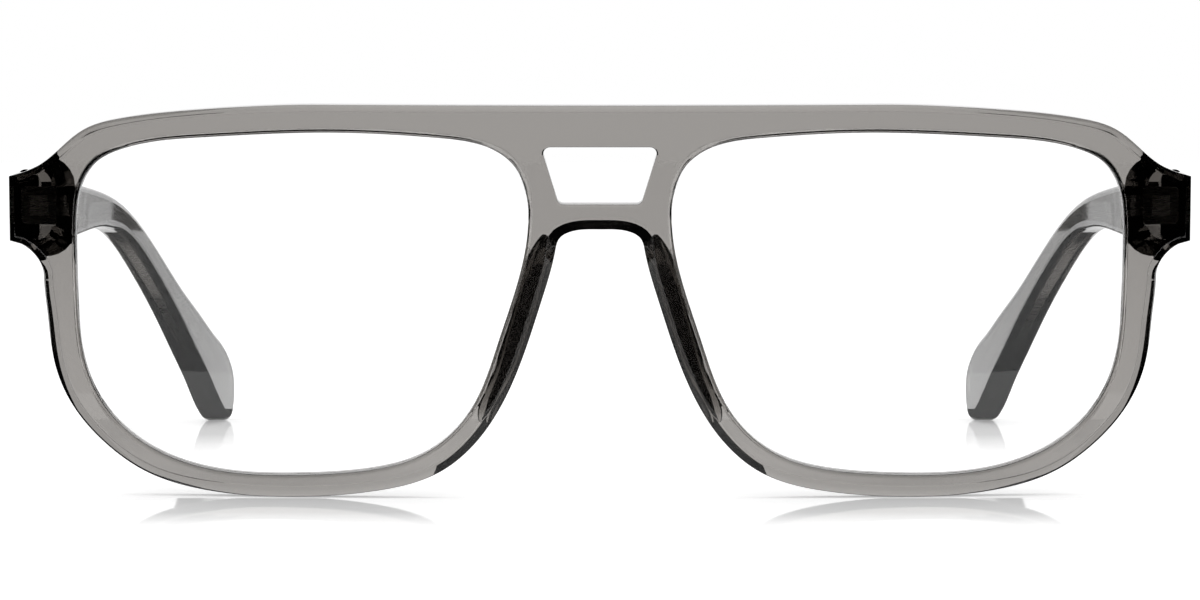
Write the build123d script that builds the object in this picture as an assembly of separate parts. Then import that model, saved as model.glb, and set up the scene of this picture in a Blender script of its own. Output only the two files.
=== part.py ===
from build123d import *
import os
from math import asin, cos, radians, sin, sqrt, tan

# All lengths are in millimetres and all angles in degrees.
# The front is drawn upright, with its lowest point at height 0 and its middle at depth 0.
# The front's face looks toward -Y, the temples run toward +Y and +Z is up.
# Every size is for the wearer's left side, at +X, and the other side is its mirror image.

# Lenses
lens_width = 55.55
lens_height = 42.1
lens_thickness = 2.0
lens_radius = 250.0
lens_forward = 0.4
groove_depth = 0.5
groove_width = 1.0
lens_tongue_width = 0.9
lens_clearance = 0.04
bridge_gap = 16.0

# Rims and bridges of the front
rim_width_temple_side = 3.85
rim_width_nose_side = 3.5
rim_width_top = 3.3
rim_width_bottom = 2.8
rim_thickness = 4.2
front_radius = 300.0
front_lean = 4.0
top_bar_height = 4.9
window_height = 6.8
window_flare = 2.1
window_corner_radius = 0.8
bridge_post_width = 3.6
lower_bar_height = 3.2
arch_shoulder = 3.0
arch_shoulder_drop = 0.36
nose_edge_slope = 0.35
face_bevel = 1.1
rear_edge_radius = 0.6
end_bevel = 0.9

# Outline of a lens opening, as shares of half its width (toward the temple) and half its height:
# over the top from its widest point at the temple side to that at the nose side, then back underneath
opening_upper_shares = (
    (1.00, 0.30), (0.994, 0.52), (0.973, 0.675), (0.90, 0.818), (0.795, 0.89), (0.42, 0.967), (-0.13, 1.00),
    (-0.615, 0.972), (-0.843, 0.909), (-0.943, 0.804), (-0.99, 0.65), (-1.00, 0.53),
)
opening_lower_shares = (
    (-1.00, 0.53), (-0.956, 0.152), (-0.868, -0.211), (-0.741, -0.62), (-0.55, -0.86), (-0.30, -0.965),
    (0.00, -1.00), (0.45, -0.965), (0.76, -0.78), (0.914, -0.544), (0.977, -0.308), (0.995, -0.03), (1.00, 0.30),
)

# Outline of the rim from beneath the end piece round to the nose, as shares of the opening with its rims
rim_outer_shares = (
    (1.012, 0.12), (1.00, -0.07), (0.975, -0.328), (0.912, -0.533), (0.782, -0.735), (0.62, -0.884),
    (0.369, -0.978), (0.05, -1.00), (-0.29, -0.962), (-0.546, -0.855), (-0.742, -0.597),
    (-0.856, -0.291), (-0.934, 0.015), (-0.989, 0.268),
)

# Outline of the top from the end of its flat stretch to the end piece, as shares of the same box
top_outer_shares = ((-0.08, 1.00), (0.39, 0.97), (0.704, 0.92), (0.839, 0.866), (0.935, 0.77), (1.01, 0.69))

# End pieces
end_reach = 4.5
end_height = 8.3
end_level_share = 0.467
end_top_fall = 0.5
end_top_slope = 0.25
block_width = 5.4
block_height = 8.6
block_depth = 7.2
block_spare = 1.0
block_flank_angle = 27.0
block_corner_radius = 2.0
end_corner_radius = 0.4

# Hinges
hinge_drop = 0.15
knuckle_count = 5
knuckle_height = 0.88
knuckle_gap = 0.04
knuckle_radius = 1.2
knuckle_clearance = 0.15
pin_radius = 0.55
pin_clearance = 0.05
thread_clearance = 0.02
screw_head_radius = 1.1
screw_head_height = 0.6
screw_slot_width = 0.3
screw_slot_depth = 0.25
leaf_thickness = 0.9
leaf_clearance = 0.02
leaf_corner_radius = 0.6
front_leaf_overhang = 0.85
front_leaf_width = 4.4
temple_leaf_length = 9.0
temple_leaf_height = 3.6
leaf_foot_depth = 1.3
leaf_foot_width = 2.2
leaf_foot_height = 2.4
temple_foot_setback = 3.0
temple_foot_length = 4.5

# Temples
temple_length = 140.0
temple_slope = 2.46
temple_straight_length = 50.5
temple_bend_radius = 60.0
temple_drop_angle = 21.92
temple_inset = 0.1
butt_gap = 0.15
butt_thickness = 3.7
temple_edge_radius = 1.0
tip_thickness = 4.2
temple_curl = 10.5
temple_curl_share = 2.1
station_shares = (0.0, 0.08, 0.175, 0.40, 0.55, 0.69, 0.78, 0.86, 0.93, 0.966, 0.99)
station_heights = (8.4, 8.4, 7.1, 3.9, 4.1, 5.2, 7.0, 8.6, 10.2, 9.5, 6.7)
tip_station = 8
plan_point_count = 8

# Core wires
wire_height = 2.2
wire_thickness = 1.2
wire_clearance = 0.02
wire_end_share = 0.88
wire_start_gap = 0.08

# Nose pads
pad_depth = 4.6
pad_flare = 6.0
pad_edge_radius = 0.5
pad_nose_side_shares = (
    (-0.705, -0.62), (-0.745, -0.56), (-0.812, -0.40), (-0.868, -0.20), (-0.922, 0.015), (-0.972, 0.25),
    (-0.955, 0.36),
)
pad_lens_side_shares = (
    (-0.955, 0.36), (-0.90, 0.30), (-0.84, 0.05), (-0.785, -0.20), (-0.735, -0.40), (-0.69, -0.54),
    (-0.705, -0.62),
)
pad_depth_shares = ((-0.66, 0.0), (-0.40, 0.55), (0.0, 1.0), (0.22, 0.85), (0.40, 0.0))

# One overrun for every cut, and how near an edge must lie to a surface to count as on it
overrun = 5.0
surface_tolerance = 0.01

# Values that follow from the sizes
opening_half_width = lens_width / 2 - groove_depth
opening_half_height = lens_height / 2 - groove_depth
lens_x = bridge_gap / 2 + lens_width / 2
lens_z = rim_width_bottom + opening_half_height
front_top = lens_z + opening_half_height + rim_width_top
temple_side_half = opening_half_width + rim_width_temple_side
nose_side_half = opening_half_width + rim_width_nose_side
upper_half = opening_half_height + rim_width_top
lower_half = opening_half_height + rim_width_bottom
end_x = lens_x + temple_side_half + end_reach
end_z = lens_z + end_level_share * upper_half
end_top = end_z + end_height / 2
end_bottom = end_z - end_height / 2
window_top = front_top - top_bar_height
window_bottom = window_top - window_height
window_bottom_half = bridge_gap / 2 + groove_depth - bridge_post_width
window_top_half = window_bottom_half + window_flare
arch_z = window_bottom - lower_bar_height


def sag(x, radius=front_radius):
    """How far the front's face lies behind its middle, at a distance x to the side."""
    return radius - sqrt(radius**2 - x**2)


def leaned(x, y, z):
    """A point of the upright front after it is leaned forward at the top."""
    c, s = cos(radians(front_lean)), sin(radians(front_lean))
    return (x, y * c - z * s, y * s + z * c)


butt_y = leaned(end_x, sag(end_x), end_z)[1] + block_depth
hinge_z = leaned(end_x, sag(end_x) + block_depth, end_z)[2] - hinge_drop
temple_outer_x = end_x - temple_inset
pin_x = temple_outer_x - butt_thickness - knuckle_clearance - knuckle_radius
pin_y = butt_y + knuckle_clearance + knuckle_radius
temple_inner_x = temple_outer_x - butt_thickness
temple_start_y = butt_y + butt_gap
knuckle_pitch = knuckle_height + knuckle_gap
hinge_height = knuckle_count * knuckle_height + (knuckle_count - 1) * knuckle_gap


def front_point(across, up):
    """A point of the rim's outline, from its shares of the opening with its rims."""
    half_width = temple_side_half if across > 0 else nose_side_half
    half_height = upper_half if up > 0 else lower_half
    return (lens_x + across * half_width, lens_z + up * half_height)


# Outline of one lens opening, grown by a margin, on the front's upright plane
def opening_face(margin):
    half_width = opening_half_width + margin
    half_height = opening_half_height + margin
    edges = []
    for shares, heading in ((opening_upper_shares, 1), (opening_lower_shares, -1)):
        points = [(lens_x + a * half_width, lens_z + u * half_height) for a, u in shares]
        edges.append(Spline(*points, tangents=[(0, heading), (0, -heading)]))
    return make_face(edges)


# Outer outline of the front, as one closed smooth line, with round ends that the side cuts take off
def front_face():
    top_points = [front_point(a, u) for a, u in top_outer_shares]
    top_points[0] = (top_points[0][0], front_top)
    rim_points = [front_point(a, u) for a, u in rim_outer_shares]
    corner_top = (end_x, end_top - end_top_fall)
    corner_bottom = (end_x, end_bottom)
    nose_end = rim_points[-1]
    side = [
        Spline(*top_points, corner_top, tangents=[(1, 0), (1, -end_top_slope)]),
        Spline(corner_top, corner_bottom, tangents=[(1, -end_top_slope), (-1, 0)]),
        Spline(corner_bottom, rim_points[0], tangents=[(-1, 0), (0, -1)]),
        Spline(*rim_points, tangents=[(0, -1), (-nose_edge_slope, 1)]),
    ]
    other_side = [edge.mirror(Plane.YZ) for edge in side]
    top_edge = Line((-top_points[0][0], front_top), (top_points[0][0], front_top))
    shoulder = arch_z - arch_shoulder_drop
    arch = Spline(
        nose_end,
        (arch_shoulder, shoulder),
        (-arch_shoulder, shoulder),
        (-nose_end[0], nose_end[1]),
        tangents=[(-nose_edge_slope, 1), (-nose_edge_slope, -1)],
    )
    return make_face([top_edge, *side, arch, *other_side])


def upright(face):
    """Puts a face drawn across and up onto the upright plane."""
    return Plane.XZ * face


def through(face):
    """Extrudes an upright face through the whole depth of the front."""
    return extrude(upright(face), amount=front_radius / 2, both=True)


def on_bent_surface(edge, radius):
    """True for an edge that lies in the bent sheet's surface of that radius."""
    for share in (0.0, 0.5, 1.0):
        point = edge.position_at(share)
        distance = sqrt(point.X**2 + (front_radius - point.Y) ** 2)
        if abs(distance - radius) > surface_tolerance:
            return False
    return True


def bent_disc(radius):
    """Everything behind a bent surface of that radius, in plan."""
    return Pos(0, front_radius) * Circle(radius)


def flipped(solid):
    """The same piece for the wearer's other side."""
    return solid.mirror(Plane.YZ)


def tall(face):
    """Extrudes a face drawn in plan through the whole height of the front."""
    return extrude(Pos(0, 0, -overrun) * face, amount=front_top + 2 * overrun)


# The bent sheet with its bevels, without openings
def bent_sheet():
    far_x = end_x + end_height
    depth = sag(far_x) + rim_thickness
    plan = Pos(0, depth / 2) * Rectangle(2 * far_x, depth + 2 * overrun)
    plan = plan & bent_disc(front_radius)
    plan = plan - bent_disc(front_radius - rim_thickness)
    sheet = (tall(plan) & through(front_face())).solid()
    sheet = chamfer([edge for edge in sheet.edges() if on_bent_surface(edge, front_radius)], face_bevel)
    rear_edges = [edge for edge in sheet.edges() if on_bent_surface(edge, front_radius - rim_thickness)]
    sheet = fillet(rear_edges, rear_edge_radius)
    bevel_x = end_x - end_bevel
    corner = [
        (bevel_x, -overrun),
        (bevel_x, sag(bevel_x)),
        (end_x, sag(end_x) + end_bevel),
        (end_x, depth + overrun),
    ]
    other_corner = [(-x, y) for x, y in reversed(corner)]
    return (sheet & tall(make_face(Polyline(*corner, *other_corner, close=True)))).solid()


# Thicker block behind one end piece, which carries the hinge: flat behind, with sloping flanks.
# It is drawn with a spare depth behind, because the front is cut square only after it is leaned.
def end_block():
    inner_x = end_x - block_width
    outline = Pos((inner_x + end_x + overrun) / 2, end_z) * Rectangle(block_width + overrun, block_height)
    corners = outline.vertices().group_by(Axis.X)[0]
    outline = fillet(corners, block_corner_radius)
    spread = block_spare * tan(radians(block_flank_angle))
    outline = offset(outline, -spread)
    back = sag(end_x) + block_depth + block_spare
    reach = back - sag(inner_x) - rim_thickness / 2
    block = Pos(0, back, 0) * extrude(upright(outline), amount=reach, taper=-block_flank_angle)
    side = tall(Pos(end_x / 2, back / 2) * Rectangle(end_x, back + 2 * overrun))
    return (block & through(front_face()) & side).solid()


# Window between the two bridges
def window_face():
    points = [
        (-window_top_half, window_top),
        (window_top_half, window_top),
        (window_bottom_half, window_bottom),
        (-window_bottom_half, window_bottom),
    ]
    face = make_face(Polyline(*points, close=True))
    return fillet(face.vertices(), window_corner_radius)


def lens_shell(thickness):
    """The space between two balls that a curved lens, or its groove, lies in."""
    middle_radius = front_radius - rim_thickness / 2 + lens_forward
    turn = asin(lens_x / front_radius)
    run = middle_radius - lens_radius
    centre = Pos(run * sin(turn), front_radius - run * cos(turn), lens_z)
    return centre * (Sphere(lens_radius + thickness / 2) - Sphere(lens_radius - thickness / 2))


# One lens: its body fills the opening and its thin tongue stands in the groove
def lens():
    body = through(opening_face(-lens_clearance)) & lens_shell(lens_thickness)
    tongue = through(opening_face(groove_depth - lens_clearance)) & lens_shell(lens_tongue_width)
    return (body + tongue).solid()


# The front in one piece, still upright
def front_upright():
    body = bent_sheet()
    block = end_block()
    body = body + block + flipped(block)
    opening = through(opening_face(0.0))
    groove = through(opening_face(groove_depth)) & lens_shell(groove_width)
    return body - opening - flipped(opening) - groove - flipped(groove) - through(window_face())


def lean(solid):
    """Leans an upright piece forward at the top."""
    return Rot(front_lean, 0, 0) * solid


def grown_box(x0, x1, y0, y1, z0, z1, margin=0.0):
    """A box between two corners, grown by a margin on every side."""
    size = (x1 - x0 + 2 * margin, y1 - y0 + 2 * margin, z1 - z0 + 2 * margin)
    return Pos((x0 + x1) / 2, (y0 + y1) / 2, (z0 + z1) / 2) * Box(*size)


def knuckle_bottom(index):
    return hinge_z - hinge_height / 2 + index * knuckle_pitch


def knuckle_disc(index):
    return Pos(pin_x, pin_y, knuckle_bottom(index) + knuckle_height / 2) * Cylinder(knuckle_radius, knuckle_height)


def pin_hole(radius):
    return Pos(pin_x, pin_y, hinge_z) * Cylinder(radius, hinge_height + 2 * overrun)


# Front leaf: a plate in the back of the end piece, with the odd knuckles
def front_leaf_plate(margin=0.0, open_by=0.0):
    x0 = pin_x - front_leaf_overhang
    x1 = x0 + front_leaf_width
    z0 = hinge_z - hinge_height / 2
    z1 = hinge_z + hinge_height / 2
    plate = grown_box(x0, x1, butt_y - leaf_thickness, butt_y + open_by, z0, z1, margin)
    plate = fillet(plate.edges().filter_by(Axis.Y), leaf_corner_radius + margin)
    middle = (x0 + x1) / 2
    foot_back = butt_y - leaf_thickness / 2
    foot = grown_box(
        middle - leaf_foot_width / 2,
        middle + leaf_foot_width / 2,
        butt_y - leaf_thickness - leaf_foot_depth,
        foot_back,
        hinge_z - leaf_foot_height / 2,
        hinge_z + leaf_foot_height / 2,
        margin,
    )
    return plate + foot


def front_leaf():
    leaf = front_leaf_plate()
    for index in range(0, knuckle_count, 2):
        low = knuckle_bottom(index)
        x0 = pin_x - knuckle_radius
        x1 = pin_x + knuckle_radius
        neck = grown_box(x0, x1, butt_y, pin_y, low, low + knuckle_height)
        leaf = leaf + knuckle_disc(index) + neck
    threaded = Pos(pin_x, pin_y, knuckle_bottom(0) + knuckle_height / 2)
    thread_hole = threaded * Cylinder(pin_radius + thread_clearance, knuckle_height)
    upper = grown_box(
        pin_x - knuckle_radius,
        pin_x + knuckle_radius,
        pin_y - knuckle_radius,
        pin_y + knuckle_radius,
        knuckle_bottom(1),
        hinge_z + hinge_height,
    )
    leaf = leaf - (pin_hole(pin_radius + pin_clearance) & upper) - thread_hole
    return leaf.solid()


# Temple leaf: a plate in the inner face of the temple, with the even knuckles
def temple_leaf_plate(margin=0.0, open_by=0.0):
    y0 = temple_start_y
    y1 = y0 + temple_leaf_length
    z0 = hinge_z - temple_leaf_height / 2
    z1 = hinge_z + temple_leaf_height / 2
    back_x = temple_inner_x + leaf_thickness
    plate = grown_box(temple_inner_x - open_by, back_x, y0 - open_by, y1, z0, z1, margin)
    rear_edges = plate.edges().filter_by(Axis.X).group_by(Axis.Y)[-1]
    plate = fillet(rear_edges, leaf_corner_radius + margin)
    foot = grown_box(
        temple_inner_x + leaf_thickness / 2,
        temple_inner_x + leaf_thickness + leaf_foot_depth,
        y0 + temple_foot_setback,
        y0 + temple_foot_setback + temple_foot_length,
        hinge_z - leaf_foot_height / 2,
        hinge_z + leaf_foot_height / 2,
        margin,
    )
    return plate + foot


def temple_leaf():
    leaf = temple_leaf_plate()
    for index in range(1, knuckle_count, 2):
        low = knuckle_bottom(index)
        y0 = pin_y - knuckle_radius
        y1 = pin_y + knuckle_radius
        neck = grown_box(pin_x, temple_inner_x + leaf_thickness / 2, y0, y1, low, low + knuckle_height)
        leaf = leaf + knuckle_disc(index) + neck
    return (leaf - pin_hole(pin_radius + pin_clearance)).solid()


# Hinge screw, with a slot across its head
def hinge_screw():
    shank_bottom = hinge_z - hinge_height / 2
    head_bottom = hinge_z + hinge_height / 2 + knuckle_gap
    shank_length = head_bottom - shank_bottom
    shank = Pos(pin_x, pin_y, shank_bottom + shank_length / 2) * Cylinder(pin_radius, shank_length)
    head = Pos(pin_x, pin_y, head_bottom + screw_head_height / 2) * Cylinder(screw_head_radius, screw_head_height)
    slot = grown_box(
        pin_x - knuckle_radius,
        pin_x + knuckle_radius,
        pin_y - screw_slot_width / 2,
        pin_y + screw_slot_width / 2,
        head_bottom + screw_head_height - screw_slot_depth,
        head_bottom + screw_head_height + overrun,
    )
    return (shank + head - slot).solid()


# Line through the middle of a temple, seen from the side: straight, a bend, then the drop
def temple_middle(run):
    """Depth, height and slope of the middle line, at a distance along it from the butt."""
    slope = radians(temple_slope)
    drop = radians(temple_drop_angle)
    y = temple_start_y
    z = hinge_z
    straight = min(run, temple_straight_length)
    y += straight * cos(slope)
    z -= straight * sin(slope)
    bend_length = temple_bend_radius * (drop - slope)
    bend_run = min(max(run - temple_straight_length, 0.0), bend_length)
    angle = slope + bend_run / temple_bend_radius
    y += temple_bend_radius * (sin(angle) - sin(slope))
    z -= temple_bend_radius * (cos(slope) - cos(angle))
    rest = max(run - temple_straight_length - bend_length, 0.0)
    return (y + rest * cos(drop), z - rest * sin(drop), angle)


temple_end_y = temple_middle(temple_length)[0]


def temple_plan(y):
    """Sideways place of the middle line and thickness of the temple at a depth."""
    share = (y - temple_start_y) / (temple_end_y - temple_start_y)
    inset = temple_curl * (temple_curl_share * share**2 - (temple_curl_share - 1) * share**3)
    thickness = butt_thickness + (tip_thickness - butt_thickness) * share
    return (temple_outer_x - butt_thickness / 2 - inset, thickness)


def plan_band(width=None):
    """Everything over a band along the middle line in plan, as wide as the temple or as asked."""
    inner = []
    outer = []
    first_y = temple_start_y - overrun
    reach = temple_end_y + overrun - first_y
    for index in range(plan_point_count):
        y = first_y + reach * index / (plan_point_count - 1)
        x, thickness = temple_plan(y)
        half = (width or thickness) / 2
        inner.append((x - half, y))
        outer.append((x + half, y))
    plan = make_face([
        Spline(*outer),
        Line(outer[-1], inner[-1]),
        Spline(*reversed(inner)),
        Line(inner[0], outer[0]),
    ])
    return extrude(Pos(0, 0, -temple_length) * plan, amount=2 * temple_length)


def beside_middle(run, offset):
    """A point above or below the middle line, square to it, in depth and height."""
    y, z, angle = temple_middle(run)
    return (y + sin(angle) * offset, z + cos(angle) * offset)


# Temple as cut from the sheet and bent, with rounded edges; its tip is rounded from its highest station on
def temple_blank():
    upper = []
    lower = []
    for share, height in zip(station_shares, station_heights):
        upper.append(beside_middle(share * temple_length, height / 2))
        lower.append(beside_middle(share * temple_length, -height / 2))
    upper[0] = (temple_start_y, upper[0][1])
    lower[0] = (temple_start_y, lower[0][1])
    tip = beside_middle(temple_length, 0.0)
    slope = radians(temple_slope)
    drop = radians(temple_drop_angle)
    down = (cos(drop), -sin(drop))
    back_up = (-cos(drop), sin(drop))
    side = make_face([
        Spline(*upper[: tip_station + 1], tangents=[(cos(slope), -sin(slope)), down]),
        Spline(*upper[tip_station:], tip, *reversed(lower[tip_station:]), tangents=[down, back_up]),
        Spline(*reversed(lower[: tip_station + 1]), tangents=[back_up, (-1, 0)]),
        Line(lower[0], upper[0]),
    ])
    body = (extrude(Plane.YZ * side, amount=2 * end_x) & plan_band()).solid()
    behind = temple_start_y + surface_tolerance
    long_edges = [edge for edge in body.edges() if edge.bounding_box().max.Y > behind]
    return fillet(long_edges, temple_edge_radius)


# Flat metal strip along the middle of a temple, from the leaf's foot to near the tip
def core_wire(margin=0.0):
    start = temple_foot_setback + temple_foot_length + wire_start_gap - margin
    bend_start = temple_straight_length
    bend_end = bend_start + temple_bend_radius * radians(temple_drop_angle - temple_slope)
    bend_middle = (bend_start + bend_end) / 2
    half = wire_height / 2 + margin
    end = wire_end_share * temple_length - half
    edges = []
    for sign in (1, -1):
        at = [beside_middle(run, sign * half) for run in (start, bend_start, bend_middle, bend_end, end)]
        edges.append(Line(at[0], at[1]))
        edges.append(ThreePointArc(at[1], at[2], at[3]))
        edges.append(Line(at[3], at[4]))
    edges.append(Line(beside_middle(start, half), beside_middle(start, -half)))
    edges.append(ThreePointArc(beside_middle(end, half), beside_middle(end + half, 0.0), beside_middle(end, -half)))
    slab = extrude(Plane.YZ * make_face(edges), amount=2 * end_x)
    return (slab & plan_band(wire_thickness + 2 * margin)).solid()


def temple():
    body = temple_blank() - temple_leaf_plate(leaf_clearance, overrun) - core_wire(wire_clearance)
    return body.solid()


# Pad glued behind the nose side of a rim
def nose_pad():
    nose_side = [front_point(a, u) for a, u in pad_nose_side_shares]
    lens_side = [front_point(a, u) for a, u in pad_lens_side_shares]
    outline = through(make_face([
        Spline(*nose_side, tangents=[(-1, 0), (1, 0)]),
        Spline(*lens_side, tangents=[(1, 0), (-1, 0)]),
    ]))
    profile_points = []
    for up, share in pad_depth_shares:
        half_height = upper_half if up > 0 else lower_half
        profile_points.append((rim_thickness + pad_depth * share, lens_z + up * half_height))
    profile = make_face([Spline(*profile_points), *Polyline(
        profile_points[-1],
        (0, profile_points[-1][1]),
        (0, profile_points[0][1]),
        profile_points[0],
    ).edges()])
    pad = (outline & extrude(Plane.YZ * profile, amount=2 * end_x)).solid()
    turn_x = bridge_gap / 2
    pad = Pos(turn_x, rim_thickness, 0) * Rot(0, 0, -pad_flare) * Pos(-turn_x, -rim_thickness, 0) * pad
    pad = (pad & tall(bent_disc(front_radius - rim_thickness))).solid()
    rear_edges = [edge for edge in pad.edges() if edge.position_at(0.5).Y > rim_thickness + pad_edge_radius]
    return fillet(rear_edges, pad_edge_radius)


def outer_corner_cut():
    """What rounds the upright edge between an end piece's back face and its end."""
    size = end_corner_radius + overrun
    centre = Pos(end_x - end_corner_radius, butt_y - end_corner_radius, 0)
    corner = centre * Pos(size / 2, size / 2, 0) * Box(size, size, 2 * front_top + 2 * overrun)
    return corner - centre * Cylinder(end_corner_radius, 2 * front_top + 3 * overrun)


# The front, leaned, cut square behind the end pieces and with pockets for the front leaves
def front_frame():
    body = lean(front_upright())
    behind = grown_box(-2 * end_x, 2 * end_x, butt_y, front_radius, -overrun, front_top + overrun)
    cut = front_leaf_plate(leaf_clearance, overrun)
    cut = cut + outer_corner_cut()
    return (body - behind - cut - flipped(cut)).solid()


# One side's pieces in place
def side_pieces():
    return {
        "lens": lean(lens()),
        "nose_pad": lean(nose_pad()),
        "hinge_front_leaf": front_leaf(),
        "hinge_temple_leaf": temple_leaf(),
        "hinge_screw": hinge_screw(),
        "temple": temple(),
        "core_wire": core_wire(),
    }


# Every piece, standing on the ground with the middle of the whole over the origin
pieces = {"front_frame": front_frame()}
for name, piece in side_pieces().items():
    pieces[name + "_left"] = piece
    pieces[name + "_right"] = flipped(piece)
boxes = [piece.bounding_box() for piece in pieces.values()]
front_y = min(box.min.Y for box in boxes)
rear_y = max(box.max.Y for box in boxes)
placed = Pos(0, -(front_y + rear_y) / 2, -min(box.min.Z for box in boxes))
os.makedirs("parts", exist_ok=True)
for name, piece in pieces.items():
    export_step(placed * piece, f"parts/{name}.step")
for name, box in zip(pieces, boxes):
    print(name, box.min, box.max)
print("pin", pin_x, pin_y + placed.position.Y, hinge_z + placed.position.Z)
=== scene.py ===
import bmesh
import bpy
import math
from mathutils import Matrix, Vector, kdtree
from mathutils.geometry import delaunay_2d_cdt


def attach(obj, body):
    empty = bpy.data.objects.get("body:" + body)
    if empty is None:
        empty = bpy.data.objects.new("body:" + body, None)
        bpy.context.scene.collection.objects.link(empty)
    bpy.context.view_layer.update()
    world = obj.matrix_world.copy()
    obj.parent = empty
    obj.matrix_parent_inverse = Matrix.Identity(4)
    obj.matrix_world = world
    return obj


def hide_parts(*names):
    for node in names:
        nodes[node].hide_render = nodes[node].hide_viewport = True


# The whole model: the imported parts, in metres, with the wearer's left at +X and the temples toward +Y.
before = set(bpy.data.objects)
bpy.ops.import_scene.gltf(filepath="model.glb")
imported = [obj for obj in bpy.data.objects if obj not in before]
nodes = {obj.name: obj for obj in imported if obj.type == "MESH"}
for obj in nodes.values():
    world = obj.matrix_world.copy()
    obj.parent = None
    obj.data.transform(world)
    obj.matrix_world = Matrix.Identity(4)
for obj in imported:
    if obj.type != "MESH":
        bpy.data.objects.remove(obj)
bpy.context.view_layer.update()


# The front: one sheet of clear grey acetate, milled with both bridges and both lens openings in one
# piece, bent over a warm form, bevelled round its edges and polished in a tumbling barrel.
class Wire:
    """One socket of a material's nodes; sums and products written with it add their Math nodes."""

    def __init__(self, tree, socket=None):
        self.tree = tree
        self.socket = socket

    def node(self, kind, settings, inputs, output=0):
        """Adds a node: first its settings, then the values or wires of its sockets."""
        made = self.tree.nodes.new(kind)
        for name, value in settings.items():
            setattr(made, name, value)
        for name, value in inputs.items():
            if isinstance(value, Wire):
                self.tree.links.new(value.socket, made.inputs[name])
            else:
                made.inputs[name].default_value = value
        return Wire(self.tree, made.outputs[output])

    def maths(self, operation, first, second):
        """Adds a Math node on two values or wires."""
        return self.node("ShaderNodeMath", {"operation": operation}, {0: first, 1: second})

    def __add__(self, other):
        return self.maths("ADD", self, other)

    __radd__ = __add__

    def __rsub__(self, other):
        return self.maths("SUBTRACT", other, self)

    def __mul__(self, other):
        return self.maths("MULTIPLY", self, other)

    __rmul__ = __mul__


def blank_finish(name):
    """A new material with nothing in it but its output."""
    finish = bpy.data.materials.new(name)
    finish.use_nodes = True
    finish.node_tree.nodes.clear()
    return finish, Wire(finish.node_tree)


def finished(finish, wire, surface, volume=None):
    """Wires the surface, and what fills the piece, to the material's output."""
    sockets = {"Surface": surface}
    if volume:
        sockets["Volume"] = volume
    made = finish.node_tree.nodes.new("ShaderNodeOutputMaterial")
    for name, value in sockets.items():
        finish.node_tree.links.new(value.socket, made.inputs[name])
    return finish


def noise(wire, place, scale, detail):
    """Soft noise over a piece, from nought to one; a larger scale makes finer grains."""
    inputs = {"Vector": place, "Scale": scale, "Detail": detail}
    return wire.node("ShaderNodeTexNoise", {}, inputs, "Fac")


def blended(wire, share, first, second):
    """A colour between two others."""
    inputs = {"Factor": share, "A": first, "B": second}
    return wire.node("ShaderNodeMix", {"data_type": "RGBA"}, inputs, "Result")


front_dye = 325.0
# Painted shade: how strongly, and toward what colour, the acetate darkens where a face is seen at a slant
painted_shade_strength = 1.3
dye_colour = (0.10, 0.07, 0.04, 1.0)
painted_shade_colour = (0.10, 0.09, 0.08, 1.0)
cloud_colours = ((0.985, 0.98, 0.975, 1.0), (1.0, 0.998, 0.995, 1.0))


def cast_acetate(name, dye):
    """Polished see-through acetate: clouds in the dye, fine marks of the tumbling in the polish.

    Its colour carries painted shade: it is darker where a face is seen at a slant, drawing the dark edge
    lines of the polished plastic.
    """
    finish, wire = blank_finish(name)
    place = wire.node("ShaderNodeTexCoord", {}, {}, "Object")
    clouds = noise(wire, place, 90.0, 3.0)
    marks = noise(wire, place, 2600.0, 4.0)
    turned = wire.node("ShaderNodeLayerWeight", {}, {"Blend": 0.5}, "Facing")
    cloudy = blended(wire, clouds, *cloud_colours)
    # Painted shade: the colour darkens as a face turns edge-on to the view, drawing dark lines along the
    # edges
    shaded_base_colour = blended(wire, painted_shade_strength * turned * turned, cloudy, painted_shade_colour)
    bumps = {"Height": marks, "Strength": 0.04, "Distance": 0.00002}
    polish = wire.node("ShaderNodeBump", {}, bumps, "Normal")
    surface = wire.node(
        "ShaderNodeBsdfPrincipled",
        {},
        {
            "Base Color": shaded_base_colour,
            "Roughness": 0.012 + 0.02 * marks,
            "IOR": 1.49,
            "Transmission Weight": 1.0,
            "Normal": polish,
        },
    )
    depth = wire.node("ShaderNodeVolumeAbsorption", {}, {"Color": dye_colour, "Density": dye})
    return finished(finish, wire, surface, depth)


acetate = cast_acetate("clear_grey_acetate", front_dye)

# The front's sizes, in millimetres, on its upright plane: across from its middle, up from its lowest
# point and back from its face. Every size is for the wearer's left side.
mm = 0.001
lens_across, lens_up = 35.775, 23.35
opening_half_across, opening_half_up = 27.275, 20.55
rim_half_out, rim_half_in, rim_half_over, rim_half_under = 31.125, 30.775, 23.85, 23.35
front_top = 47.2
sheet_radius, sheet_thickness = 300.0, 4.2
front_lean = math.radians(4.0)
front_origin = (0.0, -72.536, -0.236)
end_across, end_top, end_bottom, end_bevel = 71.4, 38.138, 30.338, 0.8
point_gap = 0.5
same_place = 0.001

# Where the outline of the front runs, as shares of the rim, each with the width of the bevel there
top_line = (
    (-0.08, 1.00, 0.6), (0.39, 0.97, 0.6), (0.704, 0.92, 0.7), (0.839, 0.866, 0.8),
    (0.935, 0.77, 0.85), (1.01, 0.69, 0.8),
)
rim_line = (
    (1.012, 0.12, 1.3), (1.00, -0.07, 1.4), (0.975, -0.328, 1.4), (0.912, -0.533, 1.25),
    (0.782, -0.735, 1.15), (0.62, -0.884, 1.2), (0.369, -0.978, 1.35), (0.05, -1.00, 1.4),
    (-0.29, -0.962, 1.3), (-0.546, -0.855, 1.1), (-0.742, -0.597, 1.0), (-0.856, -0.291, 1.0),
    (-0.934, 0.015, 1.05), (-0.989, 0.268, 1.1),
)

# The arch under the bridge runs on from the rim through these places, in millimetres
arch_line = ((4.93, 31.15, 1.3), (3.4, 32.1, 1.35))
arch_middle = (0.0, 32.35, 1.35)

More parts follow.
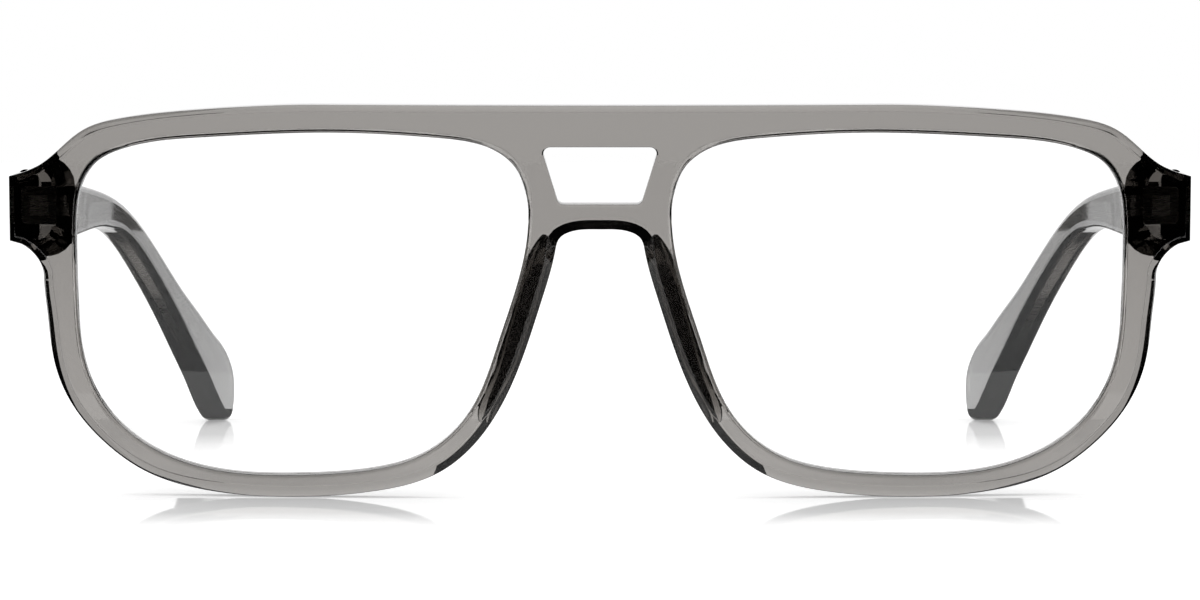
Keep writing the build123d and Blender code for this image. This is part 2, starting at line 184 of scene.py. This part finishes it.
# Where the lens opening runs, as shares of its half width and half height
opening_line = (
    (1.00, 0.30), (0.994, 0.52), (0.973, 0.675), (0.90, 0.818), (0.795, 0.89), (0.42, 0.967),
    (-0.13, 1.00), (-0.615, 0.972), (-0.843, 0.909), (-0.943, 0.804), (-0.99, 0.65), (-1.00, 0.53),
    (-0.956, 0.152), (-0.868, -0.211), (-0.741, -0.62), (-0.55, -0.86), (-0.30, -0.965),
    (0.00, -1.00), (0.45, -0.965), (0.76, -0.78), (0.914, -0.544), (0.977, -0.308), (0.995, -0.03),
    (1.00, 0.30),
)

# The point of the opening's line where its upper half ends, nearest to the nose
opening_turn = 11

window_corners = ((-7.0, 42.3), (7.0, 42.3), (4.9, 35.5), (-4.9, 35.5))
window_radius = 0.8


def smooth_line(points, first_heading, last_heading):
    """Points at an even gap along a smooth line through the given ones, with these end headings."""
    points = [Vector(point) for point in points]
    spans = [(b - a).length for a, b in zip(points, points[1:])]
    headings = [Vector(first_heading).normalized()]
    weights = [0.0]
    for before, after, a, b, c in zip(spans, spans[1:], points, points[1:], points[2:]):
        pull = 3.0 * (after / before * (b - a) + before / after * (c - b))
        scale = 2.0 * (before + after) - after * weights[-1]
        headings.append((pull - after * headings[-1]) / scale)
        weights.append(before / scale)
    headings.append(Vector(last_heading).normalized())
    for index in range(len(points) - 2, 0, -1):
        headings[index] -= weights[index] * headings[index + 1]
    line = []
    for span, a, b, start, end in zip(spans, points, points[1:], headings, headings[1:]):
        count = max(2, round(span / point_gap))
        for step in range(count):
            t = step / count
            line.append(
                (1 + 2 * t) * (1 - t) ** 2 * a
                + t * (1 - t) ** 2 * span * start
                + t**2 * (3 - 2 * t) * b
                - t**2 * (1 - t) * span * end
            )
    return line + [points[-1]]


def straight_line(first, last):
    """Points at an even gap from one point to another."""
    first, last = Vector(first), Vector(last)
    count = max(1, round((last - first).length / point_gap))
    return [first.lerp(last, step / count) for step in range(count + 1)]


def joined(lines):
    """One closed line from several, without the points that they share."""
    loop = []
    for line in lines:
        loop += line[:-1]
    return loop


def other_side(points):
    """The mirror image of a line, run through the other way."""
    return [Vector((-point.x, *point[1:])) for point in reversed(points)]


def corners_of(loop):
    """Each point of a closed line with its neighbours on both sides."""
    return zip([loop[-1], *loop[:-1]], loop, [*loop[1:], loop[0]])


def inward(loop):
    """For each point of a line run clockwise, the step to its right that moves both sides by one."""
    steps = []
    for before, here, after in corners_of(loop):
        sides = [Vector((b.y - a.y, a.x - b.x)).normalized() for a, b in ((before, here), (here, after))]
        steps.append((sides[0] + sides[1]) / (1.0 + sides[0].dot(sides[1])))
    return steps


def rim_point(across, up, bevel):
    """A place on the front from its shares of the rim's half width and half height."""
    return (
        lens_across + across * (rim_half_out if across > 0 else rim_half_in),
        lens_up + up * (rim_half_over if up > 0 else rim_half_under),
        bevel,
    )


# The outline in its pieces: the top edge, one side with its end piece and rim, and the arch
end_over, end_under = (end_across, end_top, end_bevel), (end_across, end_bottom, end_bevel)
top_points = [rim_point(*shares) for shares in top_line] + [end_over]
top_start = (top_points[0][0], front_top, top_points[0][2])
top_points[0] = top_start
rim_points = [rim_point(*shares) for shares in rim_line]
at_nose, off_nose = (-0.2, 1, 0), (-0.2, -1, 0)
left_side = [
    smooth_line(top_points, (1, 0, 0), (1, -0.25, 0)),
    straight_line(end_over, end_under),
    smooth_line([end_under, rim_points[0]], (-1, 0, 0), (0, -1, 0)),
    smooth_line(rim_points, (0, -1, 0), at_nose),
]
arch_half = [rim_points[-1], *arch_line]
arch_points = [*arch_half, arch_middle, *[(-x, y, bevel) for x, y, bevel in reversed(arch_half)]]
arch = smooth_line(arch_points, at_nose, off_nose)
top_edge = straight_line((-top_start[0], *top_start[1:]), top_start)
outline = joined([top_edge, *left_side, arch, *[other_side(line) for line in reversed(left_side)]])
end_bevel_reach = 1.3


def near_corner(point):
    """True for a point so near a corner of an end piece that the corner's bevel runs over it."""
    gaps = [math.hypot(abs(point.x) - end_across, point.y - height) for height in (end_top, end_bottom)]
    return same_place < min(gaps) < end_bevel_reach


outline = [point for point in outline if not near_corner(point)]

opening = [
    (lens_across + across * opening_half_across, lens_up + up * opening_half_up)
    for across, up in opening_line
]
opening = joined([
    smooth_line(opening[: opening_turn + 1], (0, 1), (0, -1)),
    smooth_line(opening[opening_turn:], (0, -1), (0, 1)),
])


def round_cornered(corners, radius):
    """A closed line round the corners, each rounded off."""
    steps = 6
    loop = []
    for before, here, after in corners_of([Vector(corner) for corner in corners]):
        back, on = (before - here).normalized(), (after - here).normalized()
        half_angle = back.angle(on) / 2
        centre = here + (back + on).normalized() * radius / math.sin(half_angle)
        start = here + back * radius / math.tan(half_angle) - centre
        turn = start.angle_signed(here + on * radius / math.tan(half_angle) - centre)
        for step in range(steps + 1):
            angle = -turn * step / steps
            c, s = math.cos(angle), math.sin(angle)
            loop.append(centre + Vector((start.x * c - start.y * s, start.x * s + start.y * c)))
    return loop


window = round_cornered(window_corners, window_radius)


def rounded_step(first, corner, last, count=4):
    """Points that round off a corner of a profile, from one point to another."""
    points = []
    for step in range(count + 1):
        t = step / count
        shares = ((1 - t) ** 2, 2 * t * (1 - t), t**2)
        points.append(tuple(
            shares[0] * a + shares[1] * b + shares[2] * c for a, b, c in zip(first, corner, last)
        ))
    return points


# Each profile runs from a flat border on the face, over the edge and to a flat border on the back
border = 0.12
rear_round, opening_front_round, window_round = 0.6, 0.45, 0.3


def front_edge(radius):
    """The start of a profile: the border on the face and a rounded edge."""
    return [(radius + border, 0.0), *rounded_step((radius, 0.0), (0.0, 0.0), (0.0, radius))]


def rear_edge(radius, count=4):
    """The end of a profile: a rounded edge and the border on the back."""
    above, corner = (0.0, sheet_thickness - radius), (0.0, sheet_thickness)
    rounding = rounded_step(above, corner, (radius, sheet_thickness), count)
    return [*rounding, (radius + border, sheet_thickness)]


# The outline's bevel falls at one slope to a narrow, steep strip at its outer edge. The slope is
# steeper under the arch of the bridge, and the strip is wider at the sides of the front.
bevel_softness, bevel_fall, arch_extra_fall = 0.16, 0.85, 0.95
strip_width, side_extra_width, strip_fall = 0.04, 0.26, 2.3
arch_reach, arch_low, arch_high, arch_rise = 6.5, 28.6, 34.0, 1.6
side_start, side_rise = 42.0, 10.0
knee_gap, knee_share, edge_softness = 0.08, 0.3, 0.12


def clamped(share):
    """The share, kept between nought and one."""
    return max(0.0, min(1.0, share))


def outer_profile(point):
    """How the outer edge runs from the face round to the back: steps in from the outline and back."""
    bevel = point.z
    near_arch = abs(point.x) < arch_reach and point.y < arch_high
    under_arch = clamped((point.y - arch_low) / arch_rise) if near_arch else 0.0
    at_side = clamped((abs(point.x) - side_start) / side_rise)
    fall = bevel_fall + arch_extra_fall * under_arch
    strip = strip_width + side_extra_width * at_side
    knee = Vector((strip, fall * (bevel - strip)))
    edge = Vector((0.0, knee.y + strip_fall * strip))
    slope = Vector((-1.0, fall)).normalized()
    down = (bevel + bevel_softness * slope.x, bevel_softness * slope.y)
    after_knee, before_edge = knee.lerp(edge, knee_share), knee.lerp(edge, 1.0 - knee_share)
    return [
        (bevel + bevel_softness + border, 0.0),
        *rounded_step((bevel + bevel_softness, 0.0), (bevel, 0.0), down),
        *rounded_step(knee - knee_gap * slope, knee, after_knee, 2),
        *rounded_step(before_edge, edge, edge + Vector((0.0, edge_softness)), 2),
        *rear_edge(rear_round, 5),
    ]


lens_radius, lens_forward = 250.0, 0.4
groove_width, groove_depth = 1.0, 0.5


def ball_depth(across, up, radius):
    """How far behind the front's face a ball about the lens's centre stands, at a place on it."""
    turn = math.asin(lens_across / sheet_radius)
    run = sheet_radius - sheet_thickness / 2 + lens_forward - lens_radius
    centre = (run * math.sin(turn), sheet_radius - run * math.cos(turn), lens_up)
    y = centre[1] - math.sqrt(radius**2 - (across - centre[0]) ** 2 - (up - centre[2]) ** 2)
    return sheet_radius - math.hypot(across, sheet_radius - y)


def opening_profile(point):
    """The edge of a lens opening: rounded in front and behind, with the lens's groove between."""
    radii = (lens_radius + groove_width / 2, lens_radius - groove_width / 2)
    front_wall, rear_wall = (ball_depth(abs(point.x), point.y, radius) for radius in radii)
    groove = [(0.0, front_wall), (groove_depth, front_wall), (groove_depth, rear_wall), (0.0, rear_wall)]
    return [*front_edge(opening_front_round), *groove, *rear_edge(rear_round)]


window_profile = [*front_edge(window_round), *rear_edge(window_round)]


def leaned(x, y, z):
    """A place on the upright front, in millimetres, as the front leans and stands, in metres."""
    c, s = math.cos(front_lean), math.sin(front_lean)
    x_start, y_start, z_start = front_origin
    return ((x_start + x) * mm, (y_start + y * c - z * s) * mm, (z_start + y * s + z * c) * mm)


def bent(across, up, depth):
    """A place on the flat sheet, behind its face by a depth, after the sheet is bent and leaned."""
    return leaned(across, sheet_radius - math.sqrt((sheet_radius - depth) ** 2 - across**2), up)


class Shell:
    """The front's mesh while it grows: edge walls first, then the flat faces between them."""

    spread = 1.6
    free_gap = 0.6
    weld_gap = 1e-6
    sliver_area = 1e-4

    def __init__(self):
        self.places, self.faces, self.face_loops, self.back_loops = [], [], [], []

    def add_wall(self, loop, profiles):
        """Rings of faces along a closed line, from the face round to the back."""
        first = len(self.places)
        rows = len(profiles[0])
        for point, step, profile in zip(loop, inward(loop), profiles):
            for inset, depth in profile:
                self.places.append((point.x + inset * step.x, point.y + inset * step.y, depth))
        starts = [first + index * rows for index in range(len(loop))]
        for here, there in zip(starts, [*starts[1:], starts[0]]):
            for row in range(rows - 1):
                self.faces.append((here + row, there + row, there + row + 1, here + row + 1))
        self.face_loops.append(starts)
        self.back_loops.append([start + rows - 1 for start in starts])

    def add_sheet(self, loops, depth):
        """Triangles between closed rings, with points of their own spread over them."""
        rings = [[Vector(self.places[index][:2]) for index in loop] for loop in loops]
        corners = [point for ring in rings for point in ring]
        indices = [index for loop in loops for index in loop]
        edges = []
        bands = {}
        for ring in rings:
            base = len(edges)
            edges += [(base + index, base + (index + 1) % len(ring)) for index in range(len(ring))]
            for a, b in zip(ring, ring[1:] + ring[:1]):
                for band in range(math.floor(min(a.y, b.y)), math.floor(max(a.y, b.y)) + 1):
                    bands.setdefault(band, []).append((a, b))
        nearby = kdtree.KDTree(len(corners))
        for index, corner in enumerate(corners):
            nearby.insert((corner.x, corner.y, 0.0), index)
        nearby.balance()
        columns, rows = math.ceil(end_across / self.spread), math.ceil(front_top / self.spread)
        for column in range(-columns, columns + 1):
            for row in range(rows):
                spot = Vector((column * self.spread, (row + 0.5 * (column % 2)) * self.spread))
                gap = nearby.find((spot.x, spot.y, 0.0))[2]
                if gap > self.free_gap and self.inside(spot, bands):
                    indices.append(len(self.places))
                    self.places.append((spot.x, spot.y, depth))
                    corners.append(spot)
        made, _, triangles, sources, *_ = delaunay_2d_cdt(corners, edges, [], 0, self.weld_gap)
        for triangle in triangles:
            a, b, c = (made[corner] for corner in triangle)
            sliver = abs((b - a).cross(c - a)) < self.sliver_area
            if not sliver and self.inside((a + b + c) / 3, bands):
                self.faces.append(tuple(indices[sources[corner][0]] for corner in triangle))

    @staticmethod
    def inside(spot, bands):
        """True where a place is within the outline and not within an opening."""
        crossings = 0
        for a, b in bands.get(math.floor(spot.y), ()):
            crosses = (a.y > spot.y) != (b.y > spot.y)
            if crosses and spot.x < a.x + (spot.y - a.y) / (b.y - a.y) * (b.x - a.x):
                crossings += 1
        return crossings % 2 == 1


shell = Shell()
shell.add_wall(outline, [outer_profile(point) for point in outline])
for hole in (opening, other_side(opening)):
    shell.add_wall(hole, [opening_profile(point) for point in hole])
shell.add_wall(list(reversed(window)), [window_profile] * len(window))
shell.add_sheet(shell.face_loops, 0.0)
shell.add_sheet(shell.back_loops, sheet_thickness)


def added(name, data):
    """A new object of the scene, from its mesh, lamp or camera."""
    thing = bpy.data.objects.new(name, data)
    bpy.context.scene.collection.objects.link(thing)
    return thing


def made_mesh(name, places, faces):
    """An object from places in metres and faces, all facing outward."""
    mesh = bpy.data.meshes.new(name)
    mesh.from_pydata(places, [], faces)
    grown = bmesh.new()
    grown.from_mesh(mesh)
    bmesh.ops.recalc_face_normals(grown, faces=grown.faces)
    grown.to_mesh(mesh)
    grown.free()
    return added(name, mesh)


def combined(piece, operation, tool):
    """The piece after a cut by the tool, or a join with it; the tool is used up."""
    change = piece.modifiers.new(operation, "BOOLEAN")
    change.operation = operation
    change.object = tool
    change.solver = "EXACT"
    graph = bpy.context.evaluated_depsgraph_get()
    mesh = bpy.data.meshes.new_from_object(piece.evaluated_get(graph))
    piece.modifiers.clear()
    piece.data = mesh
    bpy.data.objects.remove(tool)
    return piece


def prism(rings):
    """Places and faces of a solid between closed rings of as many points each."""
    count = len(rings[0])
    places = [place for ring in rings for place in ring]
    faces = [tuple(range(count)), tuple(range(len(places) - count, len(places)))]
    for row in range(len(rings) - 1):
        here, above = row * count, (row + 1) * count
        for index in range(count):
            after = (index + 1) % count
            faces.append((here + index, here + after, above + after, above + index))
    return places, faces


def flipped(parts):
    """The places and faces of a solid for the wearer's left side with those of its mirror image."""
    places, faces = parts
    count = len(places)
    mirrored = [(-x, y, z) for x, y, z in places]
    return places + mirrored, faces + [tuple(count + index for index in reversed(face)) for face in faces]


def box_corners(near, far, low, high):
    """The corners of an upright box, from its lower near one upward."""
    return [(near, low), (near, high), (far, high), (far, low)]


# The blocks that carry the hinges stand behind the end pieces, with sloping flanks and soft inner
# corners. They reach past the outline of the front, and are trimmed to a little inside it.
block_back, block_depth, block_middle = 15.82, 4.9, 34.488
block_near, block_far, block_half_height = 66.0, 75.0, 4.3
block_radius, block_radius_share = 2.0, 0.9
flank_in, flank_up = math.tan(math.radians(31.5)), math.tan(math.radians(25.0))
trim_gap, trim_depths = 0.03, (5.0, 25.0)


def block_ring(forward):
    """The outline of the left block at a distance in front of its back, cut square after the lean."""
    half_height = block_half_height + forward * flank_up
    near = block_near - forward * flank_in
    corners = box_corners(near, block_far, block_middle - half_height, block_middle + half_height)
    return round_cornered(corners, block_radius + block_radius_share * forward * flank_up)


square_back = [
    leaned(p.x, block_back + (p.y - block_middle) * math.tan(front_lean), p.y) for p in block_ring(0.0)
]
block_front = [leaned(p.x, block_back - block_depth, p.y) for p in block_ring(block_depth)]
blocks = made_mesh("blocks", *flipped(prism([square_back, block_front])))
inner_line = [point.xy + trim_gap * step for point, step in zip(outline, inward(outline))]
trim = made_mesh("trim", *prism([[leaned(p.x, depth, p.y) for p in inner_line] for depth in trim_depths]))
blocks = combined(blocks, "INTERSECT", trim)

front = made_mesh("front", [bent(*place) for place in shell.places], shell.faces)
front = combined(front, "UNION", blocks)

# Pockets for the hinge leaves in the backs of the blocks
pocket_near, pocket_far, pocket_low, pocket_high, pocket_radius = 65.38, 69.82, 32.8, 37.52, 0.62
pocket_depth, pocket_overrun = 0.92, 3.0
pocket = round_cornered(box_corners(pocket_near, pocket_far, pocket_low, pocket_high), pocket_radius)
butt = front_origin[1] + block_back * math.cos(front_lean) - block_middle * math.sin(front_lean)
pocket_rings = [
    [(p.x * mm, y * mm, (p.y + front_origin[2]) * mm) for p in pocket]
    for y in (butt - pocket_depth, butt + pocket_overrun)
]
front = combined(front, "DIFFERENCE", made_mesh("pockets", *flipped(prism(pocket_rings))))


def shaded(piece, limit):
    """Smooth shading with sharp edges where two faces meet at more than the limit, in degrees."""
    grown = bmesh.new()
    grown.from_mesh(piece.data)
    bmesh.ops.remove_doubles(grown, verts=grown.verts, dist=2e-7)
    for face in grown.faces:
        face.smooth = True
    for edge in grown.edges:
        edge.smooth = edge.is_manifold and edge.calc_face_angle(0.0) < math.radians(limit)
    grown.to_mesh(piece.data)
    grown.free()


shaded(front, limit=22.0)
front.data.materials.clear()
front.data.materials.append(acetate)
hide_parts("front_frame")
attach(front, "front")

# The nose pads: two small wedges of acetate, glued behind the nose side of each rim. Each slopes back
# and outward to lie along the nose. Their dye is deeper than the front's, after the photographed tones.
pad_dye = 700.0
pad_depth, pad_gap = 4.6, 0.02
pad_nose_line = (
    (-0.705, -0.62), (-0.745, -0.56), (-0.812, -0.40), (-0.868, -0.20), (-0.922, 0.015),
    (-0.968, 0.25), (-0.955, 0.35),
)
pad_lens_line = (
    (-0.70, -0.62), (-0.69, -0.54), (-0.735, -0.40), (-0.785, -0.20), (-0.84, 0.05),
    (-0.90, 0.28), (-0.94, 0.35),
)
pad_profile = ((-0.62, 0.04), (-0.40, 0.55), (0.0, 1.0), (0.22, 0.85), (0.35, 0.12))
pad_section = (
    (0.0, 0.14), (0.10, 0.34), (0.34, 0.66), (0.62, 0.92), (0.82, 1.0), (0.95, 0.9), (1.0, 0.66),
)
pad_rows = 40


def along(line, share):
    """The place at a share of the way through a line's points."""
    at = share * (len(line) - 1)
    index = min(int(at), len(line) - 2)
    return line[index].lerp(line[index + 1], at - index)


def level_on(line, place):
    """The second value of a line where its first value, which only rises, has reached a place."""
    for a, b in zip(line, line[1:]):
        if place <= b.x:
            return a.y + (b.y - a.y) * max(0.0, place - a.x) / (b.x - a.x)
    return line[-1].y


def pad_rings():
    """Closed rings round the left pad, from its lower end to its upper."""
    nose_points, lens_points = (
        [rim_point(*shares, 0.0)[:2] for shares in line] for line in (pad_nose_line, pad_lens_line)
    )
    nose_edge = smooth_line(nose_points, (-1, 1), (1, 1))
    lens_edge = smooth_line(lens_points, (1, 1), (-1, 1))
    profile = smooth_line(pad_profile, (0.4, 1), (0.2, -1))
    section = [Vector((0.0, 0.0)), *smooth_line(pad_section, (0.1, 1), (0, -1)), Vector((1.0, 0.0))]
    rings = []
    for row in range(pad_rows):
        nose, lens = (along(edge, row / (pad_rows - 1)) for edge in (nose_edge, lens_edge))
        height = (nose.y + lens.y) / 2 - lens_up
        depth = pad_depth * level_on(profile, height / (rim_half_over if height > 0 else rim_half_under))
        ring = []
        for across, back in section:
            place = nose.lerp(lens, across)
            ring.append(bent(place.x, place.y, sheet_thickness + pad_gap + depth * back))
        rings.append(ring)
    return rings


pad_acetate = cast_acetate("clear_grey_pad_acetate", pad_dye)
pad_places, pad_faces = prism(pad_rings())
for side, sign in (("left", 1), ("right", -1)):
    pad = made_mesh("pad_" + side, [(sign * x, y, z) for x, y, z in pad_places], pad_faces)
    shaded(pad, limit=40.0)
    pad.data.materials.append(pad_acetate)
    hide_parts("nose_pad_" + side)
    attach(pad, "front")


# The lenses: clear plastic, slightly curved, edged to the opening and snapped into its groove.
# Their faces carry a hard coat against scratches, which leaves them with almost no tint.
def lens_plastic():
    """Clear plastic with a coat that is hardly uneven."""
    finish, wire = blank_finish("lens_plastic")
    place = wire.node("ShaderNodeTexCoord", {}, {}, "Object")
    surface = wire.node(
        "ShaderNodeBsdfPrincipled",
        {},
        {
            "Base Color": (1.0, 1.0, 1.0, 1.0),
            "Roughness": 0.002 * noise(wire, place, 60.0, 2.0),
            "IOR": 1.5,
            "Transmission Weight": 1.0,
        },
    )
    return finished(finish, wire, surface)


def dress(name, finish):
    """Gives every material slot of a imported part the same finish."""
    for slot in nodes[name].material_slots:
        slot.material = finish


lens_finish = lens_plastic()
for side in ("left", "right"):
    dress("lens_" + side, lens_finish)

# The hinges: five barrels of nickel silver, three on the leaf that is sunk in the end piece and two on
# the leaf that is sunk in the temple, held together by a slotted screw.
brush_scale = (400.0, 400.0, 9000.0)
brush_colours = ((0.52, 0.51, 0.49, 1.0), (0.70, 0.69, 0.67, 1.0))


def brushed_metal():
    """Nickel silver with fine level lines left by the brush."""
    finish, wire = blank_finish("hinge_metal")
    place = wire.node("ShaderNodeTexCoord", {}, {}, "Object")
    lines = wire.node("ShaderNodeMapping", {}, {"Vector": place, "Scale": brush_scale}, "Vector")
    brush = noise(wire, lines, 1.0, 3.0)
    tone = blended(wire, brush, *brush_colours)
    surface = wire.node(
        "ShaderNodeBsdfPrincipled",
        {},
        {"Base Color": tone, "Metallic": 1.0, "Roughness": 0.18 + 0.2 * brush},
    )
    return finished(finish, wire, surface)


metal = brushed_metal()
for side in ("left", "right"):
    for part in ("hinge_front_leaf_", "hinge_temple_leaf_", "hinge_screw_"):
        dress(part + side, metal)

# The temples: strips of acetate, shot with a warm wire, cut to shape and bent down behind the ear.
# Their dye is deeper than the front's, after the tones in the photograph.
temple_dye = 480.0
temple_acetate = cast_acetate("clear_grey_temple_acetate", temple_dye)
for side in ("left", "right"):
    dress("temple_" + side, temple_acetate)
    dress("core_wire_" + side, metal)

# The table that the glasses stand on: a sheet of white acrylic. It mirrors them faintly, only at a
# grazing view, and only in two strips: before the rims, and before and under the temples' tips.
table_reach, table_glow = 15.0, 0.36
mirror_strips = ((-0.117, -0.0715), (-0.012, 0.0745))
mirror_rise_share, mirror_fade, mirror_strength = 0.6, 0.002, 0.45
grazing_start, grazing_full = 0.84, 0.9
white = (1.0, 1.0, 1.0, 1.0)


def level_corners(half_width, near, far, height):
    """The four corners of a level sheet, in metres."""
    return [
        (-half_width, near, height), (half_width, near, height),
        (half_width, far, height), (-half_width, far, height),
    ]


def studio_sheet(name, corners, finish):
    """A flat sheet of the studio, from its four corners in metres."""
    mesh = bpy.data.meshes.new(name)
    mesh.from_pydata(corners, [], [(0, 1, 2, 3)])
    mesh.materials.append(finish)
    sheet = added(name, mesh)
    return sheet


def ramp(wire, value, start, end):
    """Nought before the start and one after the end, with an even rise between."""
    inputs = {"Value": value, "From Min": start, "From Max": end}
    return wire.node("ShaderNodeMapRange", {}, inputs)


def ray(wire, kind):
    """One for a ray of this kind, and nought for any other."""
    return wire.node("ShaderNodeLightPath", {}, {}, f"Is {kind} Ray")


def without_gloss(wire, colour, roughness):
    """A surface without any gloss."""
    inputs = {"Base Color": colour, "Roughness": roughness, "Specular IOR Level": 0.0}
    return wire.node("ShaderNodeBsdfPrincipled", {}, inputs)


def white_acrylic():
    """White acrylic sheet: bright all through, with a faint mirror in strips."""
    finish, wire = blank_finish("white_acrylic")
    place = wire.node("ShaderNodeTexCoord", {}, {}, "Object")
    matt = without_gloss(wire, (0.98, 0.98, 0.98, 1.0), 0.5 + 0.02 * noise(wire, place, 30.0, 2.0))
    strength = table_glow * (ray(wire, "Camera") + ray(wire, "Transmission"))
    glow = wire.node("ShaderNodeEmission", {}, {"Color": white, "Strength": strength})
    bright = wire.node("ShaderNodeAddShader", {}, {0: matt, 1: glow})
    back = wire.node("ShaderNodeSeparateXYZ", {}, {0: place}, "Y")
    mirror = wire.node("ShaderNodeBsdfAnisotropic", {}, {"Color": white, "Roughness": 0.04})
    strips = []
    for near, far in mirror_strips:
        full = near + mirror_rise_share * (far - near)
        strips.append(ramp(wire, back, near, full) * (1.0 - ramp(wire, back, far, far + mirror_fade)))
    turned = wire.node("ShaderNodeLayerWeight", {}, {"Blend": 0.5}, "Facing")
    grazing = ramp(wire, turned, grazing_start, grazing_full)
    share = mirror_strength * grazing * (strips[0] + strips[1])
    surface = wire.node("ShaderNodeMixShader", {}, {0: share, 1: bright, 2: mirror})
    return finished(finish, wire, surface)


studio_sheet("table", level_corners(table_reach, -table_reach, table_reach, 0.0), white_acrylic())

# The flags: cards of black felt at both sides, above, behind the camera and over the table. Polished
# edges show them as dark lines. No camera ray or diffuse ray meets them and they cast no shadow, and
# the two over the table are met by mirror rays alone.
flag_side, flag_low, flag_high, flag_near, flag_far = 0.42, 0.0, 0.7, -1.0, 1.6
table_flag_height = 0.0005
before_glasses = (flag_near, -0.12)
under_glasses = (-0.065, 0.09)


def upright_corners(start, end, first_height, last_height):
    """The four corners of an upright sheet between two places on the floor, in metres."""
    return [(*start, first_height), (*end, first_height), (*end, last_height), (*start, last_height)]


def black_card():
    """Black felt on one side of a card, which is clear when seen from its other side."""
    finish, wire = blank_finish("black_card")
    place = wire.node("ShaderNodeTexCoord", {}, {}, "Object")
    cloth = without_gloss(wire, (0.004, 0.004, 0.004, 1.0), 0.9 + 0.1 * noise(wire, place, 50.0, 2.0))
    behind = wire.node("ShaderNodeNewGeometry", {}, {}, "Backfacing")
    clear = wire.node("ShaderNodeBsdfTransparent", {}, {"Color": white})
    surface = wire.node("ShaderNodeMixShader", {}, {0: behind, 1: cloth, 2: clear})
    return finished(finish, wire, surface)


left_near, left_far = (flag_side, flag_near), (flag_side, flag_far)
right_near, right_far = (-flag_side, flag_near), (-flag_side, flag_far)
flags = {
    "flag_left": upright_corners(left_near, left_far, flag_high, flag_low),
    "flag_right": upright_corners(right_near, right_far, flag_low, flag_high),
    "flag_camera": upright_corners(right_near, left_near, flag_high, flag_low),
    "flag_top": level_corners(flag_side, flag_far, flag_near, flag_high),
    "flag_table_front": level_corners(flag_side, *before_glasses, table_flag_height),
    "flag_table_under": level_corners(flag_side, *under_glasses, table_flag_height),
}
felt = black_card()
for name, corners in flags.items():
    flag = studio_sheet(name, corners, felt)
    flag.visible_camera = False
    flag.visible_diffuse = False
    flag.visible_shadow = False
    flag.visible_transmission = "table" not in name

# The room: white all round, at a plain level for what it lights. What the camera sees, and what metal
# and plastic show, is full white.
room_light = 0.8
world = bpy.data.worlds.new("studio")
bpy.context.scene.world = world
world.use_nodes = True
world.node_tree.nodes.clear()
air = Wire(world.node_tree)
seen = ray(air, "Camera") + ray(air, "Glossy") + ray(air, "Transmission")
strength = room_light + (1.0 - room_light) * seen
room = air.node("ShaderNodeBackground", {}, {"Color": white, "Strength": strength})
world_end = world.node_tree.nodes.new("ShaderNodeOutputWorld")
world.node_tree.links.new(room.socket, world_end.inputs["Surface"])


# The lamp: one wide soft box overhead, a little toward the camera and aimed at the front. It adds a soft
# shadow under the glasses to the light of the room.
def soft_box(name, place, target, size, power):
    """A rectangular lamp at a place, turned toward its target."""
    light = bpy.data.lights.new(name, "AREA")
    light.shape = "RECTANGLE"
    light.size, light.size_y = size
    light.energy = power
    lamp = added(name, light)
    lamp.location = place
    x, y, z = (t - p for t, p in zip(target, place))
    lamp.rotation_euler = (math.atan2(math.hypot(x, y), -z), 0.0, math.atan2(x, -y) + math.pi)


soft_box("overhead_box", place=(0.0, -0.1, 0.6), target=(0.0, -0.05, 0.02), size=(1.1, 0.7), power=1.2)

# The camera: level with the tops of the lenses, straight in front and tilted down a little, through a
# long lens.
camera_distance, camera_height = 0.480, 0.04137
front_plane = front_origin[1] * mm
camera_tilt = 2.095
camera_data = bpy.data.cameras.new("camera")
camera_data.sensor_width = 36.0
camera_data.lens = 120.96
camera_data.clip_start = 0.01
camera = added("camera", camera_data)
camera.location = (0.0, front_plane - camera_distance, camera_height)
camera.rotation_euler = (math.radians(90.0 - camera_tilt), 0.0, 0.0)
bpy.context.scene.camera = camera
bpy.context.scene.view_settings.view_transform = "Standard"
